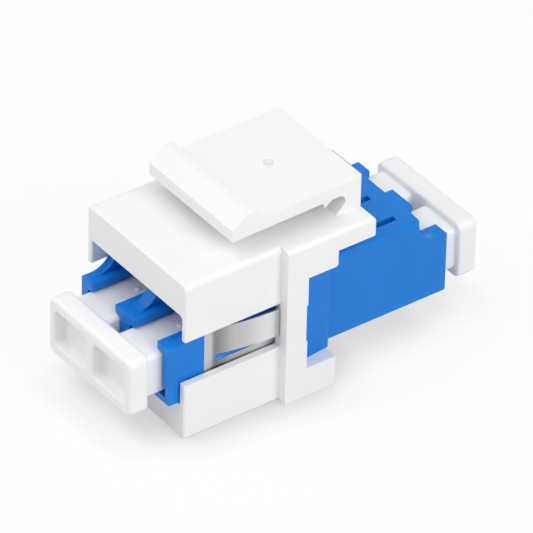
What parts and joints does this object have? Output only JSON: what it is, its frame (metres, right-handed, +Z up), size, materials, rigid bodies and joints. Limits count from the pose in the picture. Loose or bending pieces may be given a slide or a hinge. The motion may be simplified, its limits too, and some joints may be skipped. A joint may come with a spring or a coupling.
{
  "type": "fibre keystone jack",
  "caption": "Snap-in keystone module with a two-port LC fibre coupler, a flexing top latch, a spring clip and a push-in duplex dust cap at each end.",
  "frame": {"origin": "on the resting plane, below the middle of the whole part", "axes": "X is the width, -Y points out of the wall plate towards the user, +Y points towards the cable side, +Z is up, towards the latch"},
  "size_m": [0.0164, 0.0372, 0.0203],
  "materials": {
    "housing_white": "moulded, satin",
    "adapter_blue": "moulded, satin",
    "cap_white": "soft moulded, satin",
    "clip_steel": "rolled stainless strip",
    "sleeve_zirconia": "ground zirconia ceramic",
    "holder_plastic": "moulded, matte"
  },
  "bodies": {
    "housing": {"keystone_housing": "housing_white", "adapter_front_half": "adapter_blue", "adapter_rear_half": "adapter_blue", "sleeve_holder_front": "holder_plastic", "sleeve_holder_rear": "holder_plastic", "alignment_sleeve_left": "sleeve_zirconia", "alignment_sleeve_right": "sleeve_zirconia", "spring_clip": "clip_steel"},
    "latch": {"latch_arm": "housing_white"},
    "front_cap": {"front_dust_cap": "cap_white"},
    "rear_cap": {"rear_dust_cap": "cap_white"}
  },
  "joints": [
    {"name": "latch_flex", "type": "hinge", "parent": "housing", "child": "latch", "pos_m": [0, 0.00502, 0.01865], "axis": [1, 0, 0], "range_deg": [0, 6.5], "stiffness_Nm_per_rad": 0.05},
    {"name": "front_cap_pull", "type": "slide", "parent": "housing", "child": "front_cap", "axis": [0, -1, 0], "range_m": [0, 0.009]},
    {"name": "rear_cap_pull", "type": "slide", "parent": "housing", "child": "rear_cap", "axis": [0, 1, 0], "range_m": [0, 0.009]}
  ]
}
